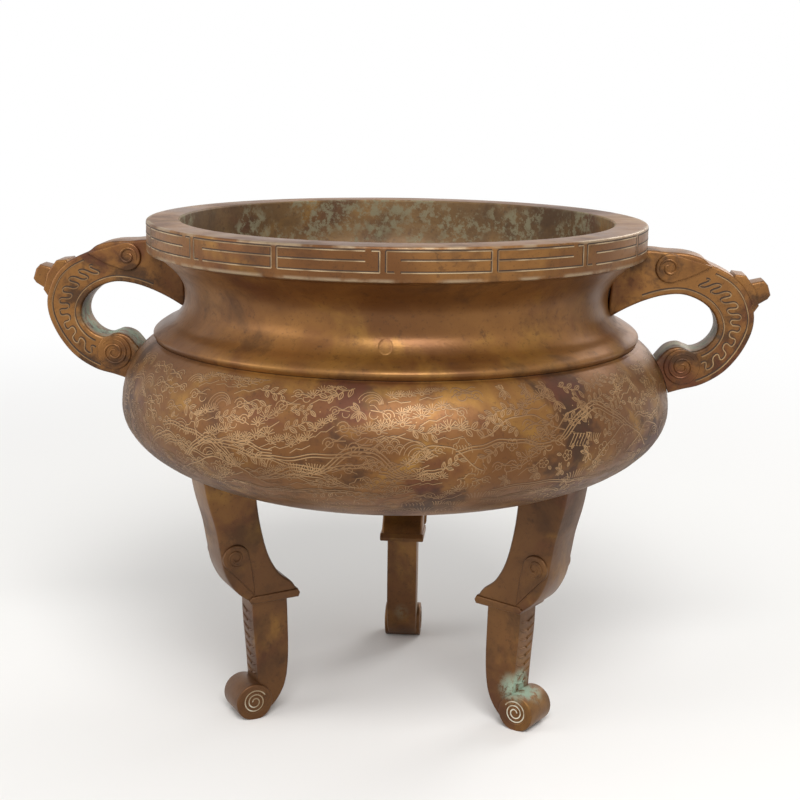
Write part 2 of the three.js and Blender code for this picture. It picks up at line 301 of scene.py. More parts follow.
def turnedTree(material):
    # sweeps a profile round a circle of radius Reach
    given, add, finish = newTree("turnedAboutTheAxis", {"Steps": "NodeSocketInt", "Reach": "NodeSocketFloat"})
    profile = add("GeometryNodeMeshToCurve", {"Mesh": given["Geometry"]})
    circle = add("GeometryNodeCurvePrimitiveCircle", {"Resolution": given["Steps"], "Radius": given["Reach"]})
    sweep = add("GeometryNodeCurveToMesh", {"Curve": circle.outputs["Curve"],
                                            "Profile Curve": profile.outputs["Curve"]})
    return finish(sweep.outputs["Mesh"], material)


def turned(name, profile, steps, material, closed=False):
    # a solid of revolution from points (radius, height); its points on the axis are welded
    reach, count = 100.0, len(profile)
    mesh = bpy.data.meshes.new("profile")
    edges = [(i, i + 1) for i in range(count - 1)] + ([(count - 1, 0)] if closed else [])
    mesh.from_pydata([((r - reach) * mm, -z * mm, 0) for r, z in profile], edges, [])
    values = {"Steps": steps, "Reach": reach * mm}
    return applyTree(placed("profile", mesh), name, turnedTree(material), values, material, True)


def tube(path, radius, sides=8):
    # a round bead along points, narrowing at its ends
    vertices, faces = [], []
    count = len(path)
    side = Vector((0, 1, 0))
    for i, p in enumerate(path):
        ahead = Vector(path[min(i + 1, count - 1)]) - Vector(path[max(i - 1, 0)])
        ahead.normalize()
        across = side - ahead * side.dot(ahead)
        across = across.normalized() if across.length > 1e-4 else ahead.orthogonal().normalized()
        up = ahead.cross(across)
        size = radius * min(1.0, 0.35 + 3.0 * min(i, count - 1 - i) / count)
        for k in range(sides):
            a = 2 * math.pi * k / sides
            vertices.append(tuple(Vector(p) + size * (math.cos(a) * across + math.sin(a) * up)))
    for i in range(count - 1):
        for k in range(sides):
            j = (k + 1) % sides
            faces.append((i * sides + k, i * sides + j, (i + 1) * sides + j, (i + 1) * sides + k))
    faces.append(tuple(range(sides - 1, -1, -1)))
    faces.append(tuple(range((count - 1) * sides, count * sides)))
    return plainMesh("bead", vertices, faces)


class Strokes:
    # collects flat strokes; the surface turns a stroke's own (u, v) into a point and says how high it lies
    def __init__(self, surface):
        self.surface, self.vertices, self.faces = surface, [], []

    def line(self, points, width, lift):
        flat = np.array(points, dtype=float)
        ahead = np.gradient(flat, axis=0)
        ahead /= np.maximum(np.linalg.norm(ahead, axis=1, keepdims=True), 1e-9)
        half = np.stack([-ahead[:, 1], ahead[:, 0]], axis=1) * width / 2
        first = len(self.vertices)
        for p, h in zip(flat, half):
            self.vertices.append(self.surface(*(p + h), lift))
            self.vertices.append(self.surface(*(p - h), lift))
        for a in range(first, len(self.vertices) - 2, 2):
            self.faces.append((a, a + 1, a + 3, a + 2))

    def piece(self, name, material):
        return meshPiece(name, self.vertices, self.faces, material, tidy=False)


def arc(cx, cy, r, start, end, count):
    # angles in degrees
    return [(cx + r * math.cos(math.radians(start + (end - start) * i / count)),
             cy + r * math.sin(math.radians(start + (end - start) * i / count))) for i in range(count + 1)]


def spiral(cx, cy, outer, inner, turns, start, count, way):
    # from the outer radius to the inner one; way is 1 or -1
    out = []
    for i in range(count + 1):
        t = i / count
        r = outer + (inner - outer) * t
        a = math.radians(start) + way * turns * 2 * math.pi * t
        out.append((cx + r * math.cos(a), cy + r * math.sin(a)))
    return out


def facing(vertices, faces, outward):
    # turns faces whose winding disagrees with the outward direction
    out = []
    for face in faces:
        a, b, c = (Vector(vertices[i]) for i in face[:3])
        normal = (b - a).cross(c - a)
        out.append(face if normal.dot(Vector(outward(a))) >= 0 else face[::-1])
    return out


# bowl, in millimetres
bowlSize = {"belly": 133.2, "bellyHeight": 153.0, "shoulderCentre": 105.6, "shoulderRise": 34.5,
            "floor": 48.0, "drop": 40.0, "seam": 184.6, "wall": 5.0, "gap": 0.3, "spigot": 106.7,
            "spigotDepth": 6.5, "inset": 0.16, "steps": 224}


def quarter(centre, reach, rise, side, start, end, steps, inset):
    # part of an ellipse about the belly's height, moved inwards by the inset
    out = []
    for i in range(steps + 1):
        a = math.radians(start + (end - start) * i / steps)
        out.append((centre + (reach - inset) * math.cos(a),
                    bowlSize["bellyHeight"] + side * (rise - inset) * math.sin(a)))
    return out


def shoulderArc(start, end, steps, inset):
    b = bowlSize
    return quarter(b["shoulderCentre"], b["belly"] - b["shoulderCentre"], b["shoulderRise"], 1,
                   start, end, steps, inset)


def undersideArc(start, end, steps, inset):
    b = bowlSize
    return quarter(b["floor"], b["belly"] - b["floor"], b["drop"], -1, start, end, steps, inset)


seamAngle = math.degrees(math.asin((bowlSize["seam"] - bowlSize["gap"] - bowlSize["bellyHeight"])
                                   / bowlSize["shoulderRise"]))


def bowlOutside(inset, steps=36):
    return undersideArc(90, 0, steps, inset) + shoulderArc(0, seamAngle, steps, inset)[1:]


def bowlProfile():
    b = bowlSize
    top = b["seam"] - b["gap"]
    outside = bowlOutside(b["inset"])
    edge = outside[-1]
    outside = outside[:-1] + [(edge[0], top - 0.5), (edge[0] - 0.6, top)]
    inside = [(b["spigot"] + b["gap"], top), (b["spigot"] + b["gap"], top - b["spigotDepth"] - 0.6)]
    inside += shoulderArc(62, 0, 14, b["wall"]) + undersideArc(0, 90, 26, b["wall"])[1:]
    return ([(0, b["bellyHeight"] - b["drop"] + b["inset"])] + outside + inside
            + [(0, b["bellyHeight"] - b["drop"] + b["wall"])])


def paintInside(piece, material):
    # a second material on the faces that look towards the vessel's axis or up from its floor
    piece.data.materials.append(material)
    for face in piece.data.polygons:
        radial = face.normal.x * face.center.x + face.normal.y * face.center.y
        radial /= math.hypot(face.center.x, face.center.y)
        if radial < -0.12 or (face.normal.z > 0.2 and face.center.z < 0.150):
            face.material_index = 1


bowlBronze = bronze("bowlBronze", bowlLook)
insideBronze = bronze("insideBronze", insideLook, [("crust", mineral, 0.85)])
bowl = turned("bowlShell", bowlProfile(), bowlSize["steps"], bowlBronze)
paintInside(bowl, insideBronze)
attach(bowl, "root")
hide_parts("bowl")
print("bowl made")


# neck and lip, in millimetres
neckSize = {"rim": 120.0, "top": 241.0, "lip": 16.0, "band": 14.6, "edge": 0.9, "steps": 256}
bandFoot = neckSize["top"] - neckSize["band"]
neckOuterPoints = [(115.5, bandFoot - 1.6), (107.6, bandFoot - 8.6), (103.4, bandFoot - 14.8), (102.4, 206),
                   (103.2, 199.6), (107.6, 194), (113.4, 190.8), (117.4, 187.6), (116.4, 184.6)]
neckInnerPoints = [(102.3, 186.6), (100.6, 192), (98, 199), (97.2, 206), (98.6, 213), (102.2, 220),
                   (103.8, bandFoot + 2)]
neckOuter = splineThrough(neckOuterPoints, 8)


def neckProfile():
    n, b, edge = neckSize, bowlSize, neckSize["edge"]
    rounded = arc(n["rim"] - edge, bandFoot + 0.5, edge, -80, 0, 4)  # the band's lower corner
    rounded += arc(n["rim"] - edge, n["top"] - edge, edge, 0, 90, 4)
    rounded += arc(n["rim"] - n["lip"] + edge, n["top"] - edge, edge, 90, 180, 4)  # the mouth's edge
    return ([(b["spigot"], b["seam"])] + neckOuter[::-1] + rounded + splineThrough(neckInnerPoints, 8)[::-1]
            + [(102.3, b["seam"] - b["spigotDepth"]), (b["spigot"], b["seam"] - b["spigotDepth"])])


neckBronze = bronze("neckBronze", castLook, [("edges", (0.36, 0.28, 0.18), 0.6)])
neck = turned("neckAndLip", neckProfile(), neckSize["steps"], neckBronze, closed=True)
paintInside(neck, insideBronze)
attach(neck, "root")
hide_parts("neck_and_lip")

plugSize = {"radius": 3.2, "height": 197.0, "turn": -88.0, "proud": 0.05, "depth": 3.0, "reach": 102.4,
            "sides": 36}
neckByHeight = sorted((z, r) for r, z in neckOuter)


def onNeck(turn, height, lift):
    r = np.interp(height, [p[0] for p in neckByHeight], [p[1] for p in neckByHeight]) + lift
    return (r * math.cos(turn), r * math.sin(turn), height)


def plugMesh():
    # a disc that follows the neck, and its foot inside the wall
    size, sides = plugSize, plugSize["sides"]
    vertices, faces = [], []
    turn = math.radians(size["turn"])
    layers = [(share, size["proud"]) for share in (0.0, 0.25, 0.5, 0.75, 0.95)]
    layers += [(1.0, -size["proud"]), (1.0, -size["depth"]), (0.0, -size["depth"])]
    rings = []
    for share, lift in layers:
        ring = []
        for k in range(1 if share == 0 else sides):
            a = 2 * math.pi * k / sides
            ring.append(len(vertices))
            vertices.append(onNeck(turn + share * size["radius"] * math.cos(a) / size["reach"],
                                   size["height"] + share * size["radius"] * math.sin(a), lift))
        rings.append(ring)
    for a, b in zip(rings, rings[1:]):
        for k in range(sides):
            j = (k + 1) % sides
            if len(a) == 1:
                faces.append((a[0], b[k], b[j]))
            elif len(b) == 1:
                faces.append((a[k], b[0], a[j]))
            else:
                faces.append((a[k], b[k], b[j], a[j]))
    return vertices, faces


plugLook = {**castLook, "roughness": 0.40}
plug = meshPiece("corePlug", *plugMesh(), bronze("plugBronze", plugLook))
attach(plug, "root")
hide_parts("neck_core_plug")
print("neck made")


# key pattern on the lip; start in degrees, the rest in millimetres
fretSize = {"units": 16, "start": 1.6, "top": 1.5, "middle": 5.4, "bottom": 10.4, "inset": 6.0, "seam": 3.4,
            "space": 1.4, "line": 0.85, "lift": 0.04, "glintLine": 0.4675, "glintLift": 0.08,
            "glintShift": (0.30, 0.34)}
# a painted highlight: light strokes beside the dark grooves stand in for the lit edges of the cuts
paintedFretHighlight = lineMaterial("paintedFretHighlight", (0.400, 0.290, 0.165), (0.185, 0.105, 0.045), 0.5)
grooveDark = lineMaterial("grooveDark", (0.060, 0.030, 0.014), (0.035, 0.018, 0.010), 0.6)


def onBand(u, v, lift):
    # u along the band from the front towards +X, v down from the lip's top, both in millimetres
    turn = u / neckSize["rim"] - math.pi / 2
    r = neckSize["rim"] + lift
    return (r * math.cos(turn), r * math.sin(turn), neckSize["top"] - v)


def denser(a, b, step=1.6):
    # points along a straight line, so that it follows the round band
    parts = max(1, int(math.dist(a, b) / step))
    return [(a[0] + (b[0] - a[0]) * i / parts, a[1] + (b[1] - a[1]) * i / parts) for i in range(parts + 1)]


def fretPaths():
    f = fretSize
    length = 2 * math.pi * neckSize["rim"] / f["units"]
    start = math.radians(f["start"]) * neckSize["rim"]
    paths = []
    for k in range(2):  # two units, one the other's mirror, make one repeat
        left, right = start + k * length + f["space"], start + (k + 1) * length - f["space"]
        top, middle, bottom = f["top"], f["middle"], f["bottom"]
        if k % 2:
            paths.append([(left, bottom), (left, top), (right - f["inset"], top)])
            paths.append([(left, middle + 0.4), (right - f["inset"], middle + 0.4)])
            paths.append([(left, bottom), (right, bottom), (right, top), (right - f["seam"], top)])
        else:
            paths.append([(left, top), (right, top), (right, bottom), (left + f["inset"], bottom)])
            paths.append([(left + f["inset"], middle), (right, middle)])
            paths.append([(left, top), (left, bottom), (left + f["seam"], bottom)])
    return paths


# each groove gets a glint, a painted highlight shifted a little beside it
grooves, glints = Strokes(onBand), Strokes(onBand)
for path in fretPaths():
    for a, b in zip(path, path[1:]):
        grooves.line(denser(a, b), fretSize["line"], fretSize["lift"])
        shifted = [(u + fretSize["glintShift"][0], v + fretSize["glintShift"][1]) for u, v in (a, b)]
        glints.line(denser(*shifted), fretSize["glintLine"], fretSize["glintLift"])
repeats = fretSize["units"] // 2
for strokes, name, material in ((grooves, "lipFret", grooveDark), (glints, "lipFretGlints", paintedFretHighlight)):
    strokes.faces = facing(strokes.vertices, strokes.faces, lambda p: (p[0], p[1], 0))
    piece = applyTree(strokes.piece("fretUnit", material), name, roundTree(material),
                      {"Count": repeats, "Step": 2 * math.pi / repeats}, material)
    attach(piece, "root")
print("key pattern made")


# engraving on the belly, in millimetres, with the tilt in degrees
engravingSize = {"seed": 11, "line": 0.40, "fine": 0.30, "shade": 0.26, "lifts": (0.03, 0.10),
                 "rows": 10, "rowFirst": 7.5, "rowStep": 7.6, "cellWidth": 11.0, "jitter": 2.6, "tilt": 16.0,
                 "border": 3.2, "ridges": 34, "ridgeLine": 0.50, "terraces": 46, "terraceLine": 0.46}
bellyPath = shoulderArc(seamAngle, 0, 60, bowlSize["inset"]) + undersideArc(0, 86, 90, bowlSize["inset"])[1:]
bellyR = np.array([p[0] for p in bellyPath])
bellyZ = np.array([p[1] for p in bellyPath])
bellyLength = np.concatenate([[0], np.cumsum(np.hypot(np.diff(bellyR), np.diff(bellyZ)))])
bellyAlongR, bellyAlongZ = np.gradient(bellyR, bellyLength), np.gradient(bellyZ, bellyLength)
lineRadius = 126.0  # where a motif's width is true


def onBelly(u, v, lift):
    # u round the belly in millimetres from the front, v down from the seam
    r, z = np.interp(v, bellyLength, bellyR), np.interp(v, bellyLength, bellyZ)
    outR, outZ = -np.interp(v, bellyLength, bellyAlongZ), np.interp(v, bellyLength, bellyAlongR)
    turn = u / lineRadius - math.pi / 2
    r, z = r + outR * lift, z + outZ * lift
    return (r * math.cos(turn), r * math.sin(turn), z)


def outOfBelly(p):
    return (p[0], p[1], (p[2] - 150) * 1.6)


def leafAt(x, y, length, width, angle):
    # two sides and a rib, pointing along the angle
    a = math.radians(angle)
    side = [(t * length, width * math.sin(math.pi * t) ** 0.9) for t in np.linspace(0, 1, 8)]

    def turn(px, py):
        return (x + px * math.cos(a) - py * math.sin(a), y + px * math.sin(a) + py * math.cos(a))

    return [[turn(px, py) for px, py in side], [turn(px, -py) for px, py in side],
            [turn(length * 0.1, 0), turn(length * 0.9, 0)]]


def needles(x, y, size, angle, spread=170, count=8, heart=0.9):
    # a fan of needles round a small ring
    out = []
    for i in range(count):
        a = math.radians(angle - spread / 2 + spread * i / (count - 1))
        out.append([(x + r * math.cos(a), y + r * math.sin(a)) for r in (heart, size)])
    return out + [arc(x, y, heart, 0, 360, 8)]


def pine(x, y, rng):
    out = [[(x - 6, y + 4.5), (x - 2, y + 2.2), (x + 1, y + 2.8), (x + 6, y + 0.6)]]
    for dx, dy in ((-5, 0.6), (-0.5, -1.6), (4.6, -3.0)):
        out += needles(x + dx, y + dy, rng.uniform(3.4, 4.4), -90 + rng.uniform(-14, 14))
    return out


def spray(x, y, rng):
    # a twig with leaves on both sides
    lean = rng.uniform(-30, 30) + rng.choice([0, 180])
    a = math.radians(lean)
    out = [[(x + t * math.cos(a), y + t * math.sin(a) + 0.6 * math.sin(t)) for t in np.linspace(-6, 6, 8)]]
    for i, t in enumerate(np.linspace(-5, 6, 6)):
        side = 1 if i % 2 else -1
        out += leafAt(x + t * math.cos(a), y + t * math.sin(a), rng.uniform(3.6, 5.0), 0.95, lean + side * 48)
    return out


def blossom(x, y, rng):
    size, first = rng.uniform(1.5, 2.1), rng.uniform(0, 72)
    out = [arc(x, y, size * 0.36, 0, 360, 7)]
    for k in range(5):
        a = math.radians(first + 72 * k)
        out.append(arc(x + size * math.cos(a), y + size * math.sin(a), size * 0.68,
                       first + 72 * k - 130, first + 72 * k + 130, 8))
    for k in range(3):
        a = first + 120 * k + 36
        out += leafAt(x + 2.3 * size * math.cos(math.radians(a)), y + 2.3 * size * math.sin(math.radians(a)),
                      3.4, 0.8, a + rng.uniform(-20, 20))
    return out


def cloud(x, y, rng):
    way = rng.choice([-1, 1])
    out = [spiral(x, y, 3.0, 0.6, 1.5, 180 if way > 0 else 0, 20, way)]
    out.append([(x + way * (-3 + t * 2.2), y + 2.8 * math.exp(-t * 0.5) * math.cos(t * 0.9))
                for t in np.linspace(0, 5, 10)])
    out.append([(x + way * (2 + t * 1.8), y - 1.8 + 0.9 * math.sin(t * 1.5)) for t in np.linspace(0, 4, 9)])
    out.append(arc(x + way * 6, y + 1.5, 2.0, 0, 200, 9))
    return out


def hill(x, y, rng):
    size = rng.uniform(5.6, 7.6)
    out = []
    for k in range(4):
        r = size - k * 1.35
        out.append([(px, y + 4 - (py - y) * 1.1) for px, py in arc(x + k * 0.7, y, r, 12, 168, 12)])
    return out


def rock(x, y, rng):
    w, h = rng.uniform(4.5, 6.5), rng.uniform(4.5, 7)
    top = [(x - w, y + 4), (x - w * 0.8, y - h * 0.2), (x - w * 0.4, y - h * 0.35),
           (x - w * 0.2, y - h * 0.75), (x + w * 0.25, y - h * 0.8), (x + w * 0.5, y - h * 0.3),
           (x + w * 0.85, y - h * 0.1), (x + w, y + 4)]
    out = [top]
    for k in range(5):
        sx = x - w * 0.6 + k * w * 0.3
        sy = y - h * 0.1 + rng.uniform(-0.6, 1.0)
        out.append([(sx, sy), (sx + 0.7, sy + 1.5), (sx + 0.3, sy + rng.uniform(2.4, 3.6))])
    return out


def waves(x, y, rng):
    out = []
    for row in range(3):
        for k in range(3):
            cx = x - 5 + k * 4.6 + (2.3 if row % 2 else 0)
            for r in (2.2, 1.3):
                out.append([(px, y + 3.4 - row * 2.4 - abs(py)) for px, py in arc(cx, 0, r, 0, 180, 7)])
    return out


def grass(x, y, rng):
    out = []
    for k in range(7):
        lean = (k - 3) * 0.55 + rng.uniform(-0.2, 0.2)
        out.append([(x + (k - 3) * 1.2 + lean * t * t * 1.1, y + 3.4 - 4.6 * t) for t in (0, 0.35, 0.7, 1)])
    return out


def bamboo(x, y, rng):
    out = []
    for a in (60, 100, 140, 205, 240):
        out += leafAt(x, y - 1, rng.uniform(4.2, 5.6), 0.85, a + rng.uniform(-12, 12))
    return out + [[(x - 0.4, y - 6), (x, y - 1), (x + 0.6, y + 6)]]


def lattice(x, y, rng):
    # crossed slats between two rails
    out = []
    for k in range(6):
        out.append([(x - 6 + k * 2.0, y - 3), (x - 3 + k * 2.0, y + 3.4)])
        out.append([(x - 6 + k * 2.0, y + 3.4), (x - 3 + k * 2.0, y - 3)])
    return out + [[(x - 6.4, y - 3.3), (x + 7.4, y - 3.3)], [(x - 6.4, y + 3.7), (x + 7.4, y + 3.7)]]


# what stands near what, changing round the belly
themes = [[pine, pine, cloud, rock, grass, spray], [blossom, spray, blossom, grass, lattice, bamboo],
          [hill, cloud, hill, waves, rock, pine], [bamboo, spray, grass, blossom, rock, spray],
          [waves, cloud, waves, hill, blossom, rock]]
upperMotifs, lowerMotifs = (cloud, pine, spray, bamboo, hill), (rock, waves, grass, hill, blossom)


def engrave():
    e = engravingSize
    rng = random.Random(e["seed"])
    strokes, shades = Strokes(onBelly), Strokes(onBelly)
    around = 2 * math.pi * lineRadius

    def cut(path, width, lift):
        # a cut drawn flat: its lit side as a painted highlight, and painted shade just above it
        strokes.line(path, width, lift)
        shades.line([(a, b - width * 0.75) for a, b in path], e["shade"], lift - 0.01)

    for row in range(e["rows"]):
        v = e["rowFirst"] + row * e["rowStep"]
        narrow = max(float(np.interp(v, bellyLength, bellyR)) / lineRadius, 0.3)
        cells = int(around * narrow / e["cellWidth"])
        for k in range(cells):
            u = (k + 0.5 * (row % 2)) * around / cells
            theme = themes[int((u / around * 11 + rng.uniform(-0.3, 0.3)) % len(themes))]
            if row < 3:
                motif = rng.choice([m for m in theme if m in upperMotifs] or [cloud])
            elif row > 6:
                motif = rng.choice([m for m in theme if m in lowerMotifs] or [rock])
            else:
                motif = rng.choice(theme)
            u0, v0 = u + rng.uniform(-1, 1) * e["jitter"], v + rng.uniform(-1, 1) * e["jitter"] * 0.6
            size, tilt = rng.uniform(0.72, 1.04), math.radians(rng.uniform(-1, 1) * e["tilt"])
            c, s = size * math.cos(tilt), size * math.sin(tilt) * rng.choice([-1, 1])
            for path in motif(0.0, 0.0, rng):
                shown = [(u0 + (px * c - py * s) / narrow, max(v0 + px * s + py * c, e["border"]))
                         for px, py in path]
                width = e["line"] if rng.random() < 0.5 else e["fine"]
                cut(shown, width, rng.uniform(*e["lifts"]))
    for k in range(e["ridges"]):  # far hills, each with echo lines
        u, v = (k + rng.random()) * around / e["ridges"], rng.uniform(20, 52)
        wide, tall = rng.uniform(14, 24), rng.uniform(8, 14)
        for echo in range(rng.choice([1, 2, 3])):
            ridge = [(u + t * wide * (1 - 0.08 * echo),
                      max(e["border"], v - (tall - echo * 1.7) * math.cos(t * 1.5) ** 1.4
                          + 0.5 * math.sin(t * 9 + k)))
                     for t in np.linspace(-1, 1, 26)]
            cut(ridge, e["ridgeLine"], rng.uniform(*e["lifts"]))
    for k in range(e["terraces"]):  # banks and paths
        u, v = rng.uniform(0, around), rng.uniform(26, 76)
        wide, phase = rng.uniform(12, 34), rng.uniform(0, 6)
        for echo in (0, 1.3):
            bank = [(u + t * wide, v + echo + 1.7 * math.sin(t * 3 + phase) + 0.4 * math.sin(t * 11))
                    for t in np.linspace(-1, 1, 30)]
            cut(bank, e["terraceLine"], rng.uniform(*e["lifts"]))
    for side in (strokes, shades):
        side.faces = facing(side.vertices, side.faces, outOfBelly)
    print("engraving strokes:", len(strokes.faces), "faces")
    return strokes, shades


# a painted highlight for the lit side of each cut, which also colours the ground dots, and painted shade for
# the side just above it
engraved = lineMaterial("engravedLines", (0.330, 0.190, 0.080), (0.200, 0.100, 0.036), 0.44, 30.0)
shaded = lineMaterial("engravedPaintedShade", (0.050, 0.024, 0.010), (0.085, 0.038, 0.014), 0.55, 30.0)
for strokes, name, material in zip(engrave(), ("bellyEngraving", "bellyEngravingPaintedShade"), (engraved, shaded)):
    engraving = strokes.piece(name, material)
    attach(engraving, "root")
print("engraving made")


# punched ground dots on the belly: swaying rows in millimetres below the seam, dots in metres
groundSize = {"rows": [(17.0, 19.0), (37.5, 39.0), (56.5, 59.0), (70.0, 74.0)], "sway": 1.6,
              "swayLength": 21.0, "steps": 240, "lift": 0.05, "seed": 5, "density": 62000.0,
              "dot": 0.00030, "spacing": 0.0011}


def groundStrip():
    vertices, faces, steps, lift = [], [], groundSize["steps"], groundSize["lift"]
    for low, high in groundSize["rows"]:
        first = len(vertices)
        for k in range(steps):
            u = 2 * math.pi * lineRadius * k / steps
            sway = groundSize["sway"] * math.sin(u / groundSize["swayLength"])
            vertices += [onBelly(u, low + sway, lift), onBelly(u, high + sway, lift)]
        for k in range(steps):
            a, b = first + 2 * k, first + 2 * ((k + 1) % steps)
            faces.append((a, a + 1, b + 1, b))
    return meshPiece("groundStrip", vertices, facing(vertices, faces, outOfBelly), engraved, tidy=False)


def dotTree(material):
    # flat round dots scattered over a mesh
    given, add, finish = newTree("groundDots", {"Density": "NodeSocketFloat", "Spacing": "NodeSocketFloat",
                                                "Dot size": "NodeSocketFloat", "Seed": "NodeSocketInt"})
    scatter = add("GeometryNodeDistributePointsOnFaces",
                  {"Mesh": given["Geometry"], "Density Max": given["Density"],
                   "Distance Min": given["Spacing"], "Seed": given["Seed"]}, distribute_method="POISSON")
    dot = add("GeometryNodeMeshCircle", {"Vertices": 6, "Radius": given["Dot size"]},
              fill_type="TRIANGLE_FAN")
    copies = add("GeometryNodeInstanceOnPoints", {"Points": scatter.outputs["Points"],
                                                  "Rotation": scatter.outputs["Rotation"],
                                                  "Instance": dot.outputs["Mesh"]})
    return finish(copies.outputs["Instances"], material)


stipple = applyTree(groundStrip(), "groundDots", dotTree(engraved),
                    {"Density": groundSize["density"], "Spacing": groundSize["spacing"],
                     "Dot size": groundSize["dot"], "Seed": groundSize["seed"]}, engraved)
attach(stipple, "root")
print("ground dots made:", len(stipple.data.polygons), "faces")


def slab(outline, width, bevel):
    # what handles and legs are made of: an outline in XZ with a width along Y and rounded edges
    curve = bpy.data.curves.new("outline", "CURVE")
    curve.dimensions, curve.fill_mode = "2D", "BOTH"
    curve.extrude, curve.bevel_depth = (width / 2 - bevel) * mm, bevel * mm
    curve.bevel_resolution, curve.offset = 3, -bevel * mm
    spline = curve.splines.new("POLY")
    spline.points.add(len(outline) - 1)
    for point, (x, z) in zip(spline.points, outline):
        point.co = (x * mm, z * mm, 0, 1)
    spline.use_cyclic_u = True
    source = placed("outline", curve)
    mesh = baked(source)
    drop(source)
    mesh.transform(Matrix.Rotation(math.pi / 2, 4, "X"))
    return mesh


def joined(name, meshes, material, cutters=(), floor=None):
    # welds each mesh, cuts each back to the vessel, keeps it above the floor, and makes one piece of them
    work = bmesh.new()
    for mesh in meshes:
        part = dress("part", mesh, material)
        for cutter in cutters:
            cut = part.modifiers.new("cut", "BOOLEAN")
            cut.operation, cut.solver, cut.object = "DIFFERENCE", "MANIFOLD", cutter
        work.from_mesh(baked(part))
        drop(part)
    if floor is not None:
        for vertex in work.verts:
            vertex.co.z = max(vertex.co.z, floor)
    mesh = bpy.data.meshes.new(name)
    work.to_mesh(mesh)
    work.free()
    return dress(name, mesh, material, 32.0)


def turnedCopy(source, name, turn, material):
    mesh = source.data.copy()
    mesh.transform(Matrix.Rotation(math.radians(turn), 4, "Z"))
    mesh.materials[0] = material
    return placed(name, mesh)


def leafOutline(cx, cz, radius, tipX, tipZ):
    # most of a disc, drawn out to a tip
    toTip = math.atan2(tipZ - cz, tipX - cx)
    start, end = toTip + math.radians(62), toTip - math.radians(62) + 2 * math.pi
    out = [(cx + radius * math.cos(start + (end - start) * i / 26),
            cz + radius * math.sin(start + (end - start) * i / 26)) for i in range(27)]
    p0, p2 = out[-1], (tipX, tipZ)
    p1 = (cx + radius * 1.5 * math.cos(toTip - 0.55), cz + radius * 1.5 * math.sin(toTip - 0.55))
    for i in range(1, 11):
        t = i / 10
        out.append(tuple((1 - t) ** 2 * a + 2 * t * (1 - t) * b + t * t * c for a, b, c in zip(p0, p1, p2)))
    return out


def discOutline(cx, cz, radius, count=40):
    return arc(cx, cz, radius, 0, 360 - 360 / count, count - 1)


def beads(paths, sideY, radius):
    # raised lines on both faces of a slab
    return [tube([(x, side * sideY, z) for x, z in path], radius) for side in (-1, 1) for path in paths]


# the vessel's own shape, a little larger, cuts the handles and legs back to it
cutGap, cutSteps = 0.12, 160
bowlCutter = turned("bowlCutter", [(0, 113 - cutGap)] + bowlOutside(-cutGap, 24) + [(0, 184.62)],
                    cutSteps, bowlBronze)
neckCutter = turned("neckCutter", [(0, bowlSize["seam"])] + [(r + cutGap, z) for r, z in neckOuter[::-1]]
                    + [(118.8, bandFoot - 0.5), (120.1, bandFoot + 0.7), (120.1, 241.2), (0, 241.2)],
                    cutSteps, bowlBronze)
print("cutters made")


# handles, drawn on the +X side, in millimetres
handleSize = {"width": 20.0, "bevel": 1.4, "boss": (138.2, 173.6), "bossRadius": 8.6, "border": 3.0,
              "line": (0.95, 0.05), "glint": (0.42, 0.5, 0.08),  # width and lift, the glint's after its shift
              "waves": 9, "waveHeight": 0.22, "waveLoop": 0.0105}
handleOuterPoints = [(104, 228.9), (121, 229.3), (129, 228.6), (138, 228.1), (145.4, 226.2), (149.6, 223.2),
                     (155.1, 220.7), (161, 217.3), (166.6, 211.6), (170.2, 204), (171.4, 196.6),
                     (169.8, 188.6), (164.9, 179.1), (157.6, 170.8), (147.8, 164.9), (138, 162.2), (128, 159)]
handleInnerPoints = [(122, 170), (126.6, 176.6), (131.2, 181.6), (137, 183.2), (143.2, 181.2),
                     (149.2, 183.6), (153.4, 188.8), (154.2, 194.4), (151.6, 200.4), (145.8, 205.4),
                     (137.4, 208.4), (128.3, 207.8), (119, 205), (109.8, 200.7), (102, 196)]
outerEdge, innerEdge = splineThrough(handleOuterPoints, 6), splineThrough(handleInnerPoints, 6)


def handleMeshes():
    h = handleSize
    foot = [(158, 212), (161.5, 218.6), (166.6, 218), (171.4, 211.6), (173.4, 203.6), (170.6, 199.4),
            (164, 202)]
    stub = [(165, 212), (170.2, 214.4), (175.4, 215.6), (177.4, 213.4), (178.9, 208.6), (177.6, 206.6),
            (172.4, 203.4), (166, 203)]
    ear = leafOutline(130.6, 221, 7, 150.4, 222.4)
    meshes = [slab(outerEdge + innerEdge, h["width"], h["bevel"]),
              slab(ear, h["width"] + 3.0, 0.9),
              slab(discOutline(*h["boss"], h["bossRadius"]), h["width"] + 1.5, 0.6),
              slab(foot, h["width"] - 3, 1.0), slab(stub, h["width"] - 7, 1.2)]
    hook = spiral(130.2, 221.2, 4.7, 1.2, 1.35, 200, 34, -1)
    meshes += beads([hook], h["width"] / 2 + 1.45, 0.75)
    return meshes + beads([spiral(*h["boss"], 6.9, 1.0, 2.3, 30, 60, 1)], h["width"] / 2 + 0.7, 0.62)


def onFace(side, half, turn):
    # u is X and v is Z on a slab's face, for a piece turned about Z
    c, s = math.cos(math.radians(turn)), math.sin(math.radians(turn))

    def surface(u, v, lift):
        y = side * (half + lift)
        return (u * c - y * s, u * s + y * c, v)
    return surface


def facePiece(name, paths, half, turn, width, lift, material):
    # the same strokes on both faces of a slab
    vertices, faces = [], []
    for side in (-1, 1):
        cuts = Strokes(onFace(side, half, turn))
        for path in paths:
            cuts.line(path, width, lift)
        out = onFace(side, 0.0, turn)(0, 0, 1)
        for face in facing(cuts.vertices, cuts.faces, lambda p: out):
            faces.append(tuple(i + len(vertices) for i in face))
        vertices += cuts.vertices
    return meshPiece(name, vertices, faces, material, tidy=False)


